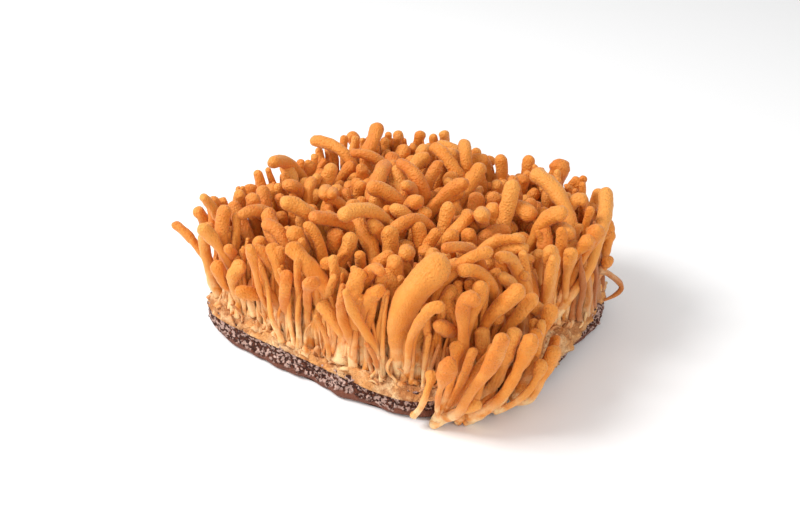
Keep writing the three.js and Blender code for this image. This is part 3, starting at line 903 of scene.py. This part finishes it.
# A material's node tree with helpers that place a node and link what it is given.
class Bench:
    def __init__(self, name):
        self.material = bpy.data.materials.new(name)
        self.material.use_nodes = True
        self.tree = self.material.node_tree
        self.shader = self.tree.nodes["Principled BSDF"]

    def feed(self, socket, value):
        if isinstance(value, bpy.types.NodeSocket):
            self.tree.links.new(value, socket)
        elif isinstance(value, (tuple, list)):
            socket.default_value = (*value, 1)
        else:
            socket.default_value = value

    def set(self, **values):
        for key, value in values.items():
            self.feed(self.shader.inputs[key.replace("_", " ")], value)

    def mask(self, group, values):
        node = self.tree.nodes.new("ShaderNodeGroup")
        node.node_tree = group
        for socket, value in zip(node.inputs, values):
            self.feed(socket, value)
        return node.outputs["Mask"]

    def patches(self, scale, detail, low, high):
        return self.mask(softPatches, (scale, detail, low, high))

    def dots(self, scale, size):
        return self.mask(smallDots, (scale, size))

    def attribute(self, name):
        node = self.tree.nodes.new("ShaderNodeAttribute")
        node.attribute_name = name
        return node.outputs["Fac"]

    def maths(self, operation, a, b):
        node = self.tree.nodes.new("ShaderNodeMath")
        node.operation = operation
        self.feed(node.inputs[0], a)
        self.feed(node.inputs[1], b)
        return node.outputs["Value"]

    def times(self, a, b):
        return self.maths("MULTIPLY", a, b)

    def rangeOf(self, value, low, high, start, end):
        node = self.tree.nodes.new("ShaderNodeMapRange")
        node.interpolation_type = "SMOOTHSTEP"
        for socket, number in zip(node.inputs, (value, low, high, start, end)):
            self.feed(socket, number)
        return node.outputs["Result"]

    def mix(self, factor, first, second):
        node = self.tree.nodes.new("ShaderNodeMix")
        node.data_type = "RGBA"
        self.feed(node.inputs["Factor"], factor)
        self.feed(node.inputs["A"], first)
        self.feed(node.inputs["B"], second)
        return node.outputs["Result"]

    def bump(self, height, distance):
        node = self.tree.nodes.new("ShaderNodeBump")
        node.inputs["Distance"].default_value = distance
        self.feed(node.inputs["Height"], height)
        return node.outputs["Normal"]

    def finished(self, look, colour, roughness, height):
        self.set(Base_Color=colour, Roughness=roughness, Specular_IOR_Level=look["specular"])
        self.set(Normal=self.bump(height, look["bumpDepth"]))
        return self.material


fleshLook = {
    "orange": (0.72, 0.225, 0.016),
    "deep": (0.60, 0.14, 0.008),
    "light": (0.80, 0.33, 0.055),
    "pale": (0.92, 0.62, 0.30),
    "dots": (0.42, 0.12, 0.025),
    "dry": (0.42, 0.13, 0.035),
    "paleLength": (2, 16),  # millimetres from the root where the pale foot ends
    "roughness": 0.55,
    "bumpDepth": 0.0003,
    "specular": 0.4,
}


def fleshMaterial():
    bench = Bench("clubFlesh")
    look = fleshLook
    tone = bench.attribute("tone")
    headShare = bench.attribute("headShare")
    colour = bench.mix(bench.rangeOf(tone, 0.45, 1.0, 0.0, 0.7), look["orange"], look["light"])
    colour = bench.mix(bench.rangeOf(tone, 0.4, 0.0, 0.0, 0.5), colour, look["deep"])
    cloudy = bench.patches(170, 2, 0.35, 0.7)
    colour = bench.mix(bench.times(cloudy, 0.45), colour, look["light"])
    pale = bench.rangeOf(bench.attribute("fromRoot"), *look["paleLength"], 1.0, 0.0)
    streaks = bench.patches(260, 3, 0.3, 0.65)
    colour = bench.mix(bench.times(pale, streaks), colour, look["pale"])
    dots = bench.dots(1000, 0.3)
    patchy = bench.patches(420, 2, 0.4, 0.62)
    dotted = bench.times(bench.times(dots, patchy), headShare)
    colour = bench.mix(bench.times(dotted, 0.75), colour, look["dots"])
    colour = bench.mix(bench.attribute("dry"), colour, look["dry"])
    fine = bench.patches(1500, 3, 0.2, 0.8)
    pimples = bench.times(bench.dots(1100, 0.7), headShare)
    height = bench.maths("ADD", bench.times(fine, 0.6), bench.times(pimples, 0.7))
    bench.set(Subsurface_Weight=0.12, Subsurface_Scale=0.0012)
    bench.shader.inputs["Subsurface Radius"].default_value = (1.0, 0.45, 0.2)
    bench.set(Sheen_Weight=0.15, Sheen_Roughness=0.5, Sheen_Tint=(1, 0.9, 0.75))
    return bench.finished(look, colour, look["roughness"], height)


matLook = {
    "peach": (0.84, 0.39, 0.13),
    # brown is both painted shade in the mat's hollows and the colour of its crumbs
    "brown": (0.48, 0.16, 0.045),
    "cream": (0.93, 0.60, 0.31),
    "roughness": 0.9,
    "bumpDepth": 0.0005,
    "specular": 0.2,
}


def matMaterial():
    bench = Bench("feltedMat")
    look = matLook
    paintedHollowShade = bench.attribute("paintedHollowShade")
    creamy = bench.patches(140, 4, 0.38, 0.62)
    colour = bench.mix(creamy, look["peach"], look["cream"])
    # Painted shade: the colour turns brown where the top lies low in a hollow between lumps.
    colour = bench.mix(bench.times(paintedHollowShade, 0.7), colour, look["brown"])
    crumbs = bench.patches(1300, 5, 0.35, 0.65)
    colour = bench.mix(bench.times(crumbs, 0.35), colour, look["brown"])
    fibres = bench.patches(1600, 4, 0.2, 0.8)
    height = bench.maths("ADD", bench.times(crumbs, -0.8), bench.times(fibres, 0.5))
    return bench.finished(look, colour, look["roughness"], height)


cakeLook = {
    "rust": (0.21, 0.062, 0.03),
    "brown": (0.15, 0.042, 0.02),
    "dark": (0.06, 0.018, 0.011),
    "pink": (0.70, 0.45, 0.37),
    "roughness": (0.6, 0.85),  # of the smooth foot and of the speckled band
    "bumpDepth": 0.0006,
    "specular": 0.3,
}


def cakeMaterial():
    bench = Bench("grainCake")
    look = cakeLook
    band = bench.attribute("band")
    warm = bench.patches(220, 3, 0.3, 0.7)
    smooth = bench.mix(warm, look["brown"], look["rust"])
    pits = bench.patches(1000, 3, 0.44, 0.56)
    speckle = bench.patches(700, 6, 0.485, 0.545)
    mottled = bench.mix(pits, look["brown"], look["dark"])
    mottled = bench.mix(speckle, mottled, look["pink"])
    colour = bench.mix(band, smooth, mottled)
    height = bench.times(bench.maths("SUBTRACT", speckle, pits), band)
    fine = bench.patches(1300, 3, 0.2, 0.8)
    height = bench.maths("ADD", height, fine)
    return bench.finished(look, colour, bench.rangeOf(band, 0, 1, *look["roughness"]), height)


flesh = fleshMaterial()
felt = matMaterial()
grain = cakeMaterial()

# The crop: one piece for each tuft of the solid model.

# Kinds of club, with the rings, the cap's rings and the sides of each one's skin.
kinds = [
    ("club", crop, (44, 8, 18)),
    ("stalk", stalkClubs, (30, 4, 10)),
    ("dried", driedClubs, (40, 4, 14)),
    ("thread", threads, (16, 2, 7)),
]

leaderTraits = {
    "taper": 0.4,  # of what it would be
    "headSize": (0.88, 1.0),
    "swellStart": (0.45, 0.66),
    "swellLength": 0.25,
    "thinRoot": 0.55,  # of the first and thickest one
}


def shapeLeaders(traits):
    look, isLeader = leaderTraits, np.arange(clubCount) < len(leaders)
    traits["hook"][isLeader] = 0
    traits["taper"][isLeader] *= look["taper"]
    traits["headSize"][isLeader] = spreadOf(*look["headSize"], len(leaders))
    traits["stemSize"][isLeader] = 1
    traits["swellStart"][isLeader] = spreadOf(*look["swellStart"], len(leaders))
    traits["swellLength"][isLeader] = look["swellLength"]
    traits["thinRoot"][0] = look["thinRoot"]


parts = []
for kind, clubs, size in kinds:
    traits = clubTraits(clubs, kind)
    if kind == "club":
        shapeLeaders(traits)
    parts.append((clubs["tuft"], *clubSkin(clubs, traits, *size)))


def makeTuft(name, number):
    allPoints, allQuads, allTriangles, values, base = [], [], [], {}, 0
    for tuft, points, shade in parts:
        mine = tuft == number
        if not mine.any():
            continue
        some, quads, triangles, named = skinParts(points[mine], {key: shade[key][mine] for key in shade})
        allPoints.append(some)
        allQuads.append(quads + base)
        allTriangles.append(triangles + base)
        base += len(some)
        for key in named:
            values.setdefault(key, []).append(named[key])
    values = {key: np.concatenate(value) for key, value in values.items()}
    return makeMesh(name, np.vstack(allPoints), np.vstack(allQuads), np.vstack(allTriangles), values, flesh)


for number in range(len(tufts["clubs"])):
    node = ("side_tuft_" if tufts["side"][number] else "tuft_") + f"{number + 1:02d}"
    piece = makeTuft(f"fine_{node}", number)
    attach(piece, root)
    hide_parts(node)
print("crop made:", clubCount, "clubs,", len(threads["stem"]), "threads")


# The mat and the cake: profiles carried round the block's plan.

# Even lumps: sines along random directions, added up. Each wave gives a point's distance along its
# direction over the wavelength, in turns.
def ripples(points, wavelength, seed, waves=16):
    source = np.random.default_rng(seed)
    ways = unit(source.normal(size=(waves, 3)))
    phases = source.uniform(0, 2 * math.pi, waves)
    total = np.zeros(points.shape[:-1])
    for way, phase in zip(ways, phases):
        total += np.sin(points @ way * (2 * math.pi / wavelength) + phase)
    return total / math.sqrt(waves / 2)


# Several sizes of lump added up, each a share, a wavelength and a seed. With upright below 1 they
# are longer upwards than across.
def layered(points, layers, upright=1):
    points = points * [1, 1, upright]
    return sum(share * ripples(points, wavelength, seed) for share, wavelength, seed in layers)


# Points on rings round the block: at each height of the profile, the plan's edge less an inset.
def carried(angle, height, inset):
    radius = np.maximum(edgeRadius(angle)[None] - inset, 0.01)
    return np.stack([radius * np.cos(angle), radius * np.sin(angle), height + 0 * radius], -1)


# A closed body from rings, with a pole below and above and one value at each point.
def makeStack(name, points, poleHeights, label, values, poleValues, material):
    poles = [[0, 0, height] for height in poleHeights]
    shade = {label: np.concatenate([values.reshape(-1), poleValues])}
    quads, triangles = stackFaces(*points.shape[:2])
    return makeMesh(name, np.concatenate([points.reshape(-1, 3), poles]), quads, triangles, shade, material)


matShape = {
    "turns": 620, "underRings": 10, "topRings": 120, "rimRings": 26,
    "corner": (math.radians(305), 0.27),  # the front corner's angle and width
    "embedded": 0.6, "lap": 1.2, "cornerLap": 1.6, "drape": 4.5, "crown": 0.4, "shoulder": 1.8,
    "bulge": (0.5, 1.1, 1.4),  # of the rim: everywhere, more at the right, more at the corner
    "lumps": [(0.9, 9, 21), (0.55, 4.2, 22), (0.32, 2.1, 23), (0.2, 1.2, 24)],
    "lump": 0.54, "rimLump": 0.45, "mound": 1.3, "moundWidth": 5.5,
    "ruffle": 0.9,
}


def makeMat():
    shape = matShape
    angle = np.linspace(0, 2 * math.pi, shape["turns"], endpoint=False)
    toCorner, toRight = nearAngle(angle, *shape["corner"]), toRightSide(angle)
    # From the underside out to the rim, round the shoulder and in over the top.
    under = np.linspace(0.02, 0.96, shape["underRings"])[:, None]
    rim = np.linspace(0, math.pi / 2, shape["rimRings"])[:, None]
    top = np.linspace(0.97, 0.01, shape["topRings"])[:, None] ** 0.8
    floor = block["cakeTop"] - shape["embedded"]
    low = (block["cakeTop"] + block["clearance"] - shape["lap"] - shape["cornerLap"] * toCorner
           - shape["drape"] * toRight)
    high = block["matTop"] - shape["crown"]
    drop = shape["shoulder"]
    outer = edgeRadius(angle)
    bulge = shape["bulge"][0] + shape["bulge"][1] * toRight + shape["bulge"][2] * toCorner
    underPoints = carried(angle, floor + 0 * under, outer * (1 - under))
    rimHeight = low + (high - low) * np.sin(rim)
    rimPoints = carried(angle, rimHeight, drop * (1 - np.cos(rim)) - bulge * np.cos(rim))
    topPoints = carried(angle, high + 0 * top, drop + (outer - drop) * (1 - top))
    points = np.concatenate([underPoints, rimPoints, topPoints])
    outward = turned(angle)[None]

    rimLike = np.zeros(len(points))[:, None]
    rimLike[len(under):len(under) + len(rim)] = np.cos(rim) ** 0.7
    topLike = np.zeros(len(points))[:, None]
    topLike[len(under):] = 1
    rough = layered(points, shape["lumps"])
    apart = np.linalg.norm(points[..., None, :2] - tufts["centre"][None, None, :, :2], axis=-1)
    mound = shape["mound"] * np.exp(-(apart.min(-1) / shape["moundWidth"]) ** 2)
    ruffles = (np.abs(layered(points, [(1, 7, 25)], upright=0.45))
               + 0.5 * np.abs(layered(points, [(1, 3.4, 26)], upright=0.6)))
    ruffles = shape["ruffle"] * toRight * ruffles * np.maximum(rimLike, 0)
    points = points + outward * (rimLike * (shape["rimLump"] * rough - 0.1) + ruffles)[..., None]
    points[..., 2] += (topLike - 0.4 * rimLike) * (shape["lump"] * rough + mound)
    # Painted shade: how low each point of the top lies in a hollow between the lumps; the material darkens
    # the mat there.
    paintedHollowShade = smoothStep(0.35 - rough / 1.5) * topLike
    return makeStack("felted_mat", points, (floor, high), "paintedHollowShade", paintedHollowShade, (0, 0), felt)


mat = makeMat()
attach(mat, root)
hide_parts("mycelium_mat")
print("mat made")

cakeShape = {
    "turns": 1100, "bottomRings": 6, "turnRings": 12, "sideRings": 34, "coverRings": 6,
    "leftCorner": (math.radians(222), 0.3),  # its angle and width: the underside curves up more there
    "round": 3.2, "roundShare": (0.8, 0.7), "batter": 0.35, "intoMat": 0.4,
    "bandStart": 2.4, "bandBlur": 0.8,  # where the speckled band begins above the smooth foot
    "bandEdge": [(0.5, 16, 31), (0.35, 4, 32)],
    "broad": [(0.5, 22, 36), (0.25, 9, 37)],
    "grain": 0.45, "grainInset": 0.35, "smoothGrain": 0.1,
}


def makeCake():
    shape = cakeShape
    angle = np.linspace(0, 2 * math.pi, shape["turns"], endpoint=False)
    outer = edgeRadius(angle)
    rounding = shape["round"] * (shape["roundShare"][0]
                                 + shape["roundShare"][1] * nearAngle(angle, *shape["leftCorner"]))
    bottom = np.linspace(0.05, 0.9, shape["bottomRings"])[:, None]
    turn = np.linspace(0, math.pi / 2, shape["turnRings"])[:, None]
    rise = np.linspace(0, 1, shape["sideRings"])[1:, None]
    cover = np.linspace(0.97, 0.05, shape["coverRings"])[:, None]
    bottomPoints = carried(angle, 0 * bottom, outer - (outer - rounding) * bottom)
    turnPoints = carried(angle, rounding * (1 - np.cos(turn)), rounding * (1 - np.sin(turn)))
    sideHeight = rounding + (block["cakeTop"] + shape["intoMat"] - rounding) * rise
    sidePoints = carried(angle, sideHeight, shape["batter"] * rise)
    lid = block["cakeTop"] + 0.3
    coverPoints = carried(angle, lid + 0 * cover, outer * (1 - cover))
    points = np.concatenate([bottomPoints, turnPoints, sidePoints, coverPoints])

    edge = shape["bandStart"] + layered(points, shape["bandEdge"])
    band = smoothStep((points[..., 2] - edge) / shape["bandBlur"])
    onSide = np.zeros(len(points))[:, None]
    onSide[len(bottom) + 2:len(bottom) + len(turn) + len(rise)] = 1
    grains = (0.5 * ripples(points, 3.2, 33) + 0.45 * np.abs(ripples(points, 1.9, 34))
              + 0.2 * ripples(points, 1.1, 35))
    broad = (layered(points, shape["broad"][:1], upright=0.4)
             + layered(points, shape["broad"][1:], upright=0.5))
    push = onSide * (broad + band * (shape["grain"] * grains - shape["grainInset"])
                     + (1 - band) * shape["smoothGrain"] * grains)
    points = points + turned(angle)[None] * push[..., None]
    return makeStack("coarse_cake", points, (0, lid), "band", band * onSide, (0, 1), grain)


cake = makeCake()
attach(cake, root)
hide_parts("grain_cake")
print("cake made")

# The floor, the lights and the camera.

stageLook = {
    "floorSize": 3.0,
    "floorHeight": -0.0001,
    "floorColour": (0.93, 0.93, 0.93),
    "sky": 0.65,
    "keyPlace": (-0.42, -0.40, 0.62), "keySize": 0.42, "keyPower": 6.5,
    "fillPlace": (0.65, -0.45, 0.40), "fillSize": 0.6, "fillPower": 2.2,
}


def makeFloor():
    half = stageLook["floorSize"] / 2
    mesh = bpy.data.meshes.new("floor")
    corners = [(-half, -half, 0), (half, -half, 0), (half, half, 0), (-half, half, 0)]
    mesh.from_pydata(corners, [], [(0, 1, 2, 3)])
    floor = bpy.data.objects.new("floor", mesh)
    floor.location.z = stageLook["floorHeight"]
    bpy.context.scene.collection.objects.link(floor)
    bench = Bench("paleFloor")
    bench.set(Base_Color=stageLook["floorColour"], Roughness=0.9)
    mesh.materials.append(bench.material)


def makeLight(name, place, size, power):
    data = bpy.data.lights.new(name, "AREA")
    data.shape = "DISK"
    data.size = size
    data.energy = power
    light = bpy.data.objects.new(name, data)
    light.location = place
    way = -light.location.normalized()
    light.rotation_euler = way.to_track_quat("-Z", "Y").to_euler()
    bpy.context.scene.collection.objects.link(light)


def makeSky():
    world = bpy.data.worlds.new("paleSky")
    bpy.context.scene.world = world
    world.use_nodes = True
    sky = world.node_tree.nodes["Background"]
    sky.inputs["Color"].default_value = (1, 1, 1, 1)
    sky.inputs["Strength"].default_value = stageLook["sky"]


makeFloor()
makeLight("keyLight", stageLook["keyPlace"], stageLook["keySize"], stageLook["keyPower"])
makeLight("fillLight", stageLook["fillPlace"], stageLook["fillSize"], stageLook["fillPower"])
makeSky()
bpy.context.scene.view_settings.view_transform = "Standard"

cameraLook = {
    "azimuth": 37.3, "elevation": 28.3, "distance": 0.407, "target": (-0.0008, -0.0079, 0.0275),
    "lens": 50, "sensor": 36,
}


def makeCamera():
    data = bpy.data.cameras.new("camera")
    data.lens = cameraLook["lens"]
    data.sensor_width = cameraLook["sensor"]
    camera = bpy.data.objects.new("camera", data)
    turn, lift = math.radians(cameraLook["azimuth"]), math.radians(cameraLook["elevation"])
    level = math.cos(lift)
    back = np.array([math.sin(turn) * level, -math.cos(turn) * level, math.sin(lift)])
    camera.location = np.array(cameraLook["target"]) + back * cameraLook["distance"]
    camera.rotation_euler = (math.pi / 2 - lift, 0, turn)
    bpy.context.scene.collection.objects.link(camera)
    bpy.context.scene.camera = camera


makeCamera()

print("scene ready")
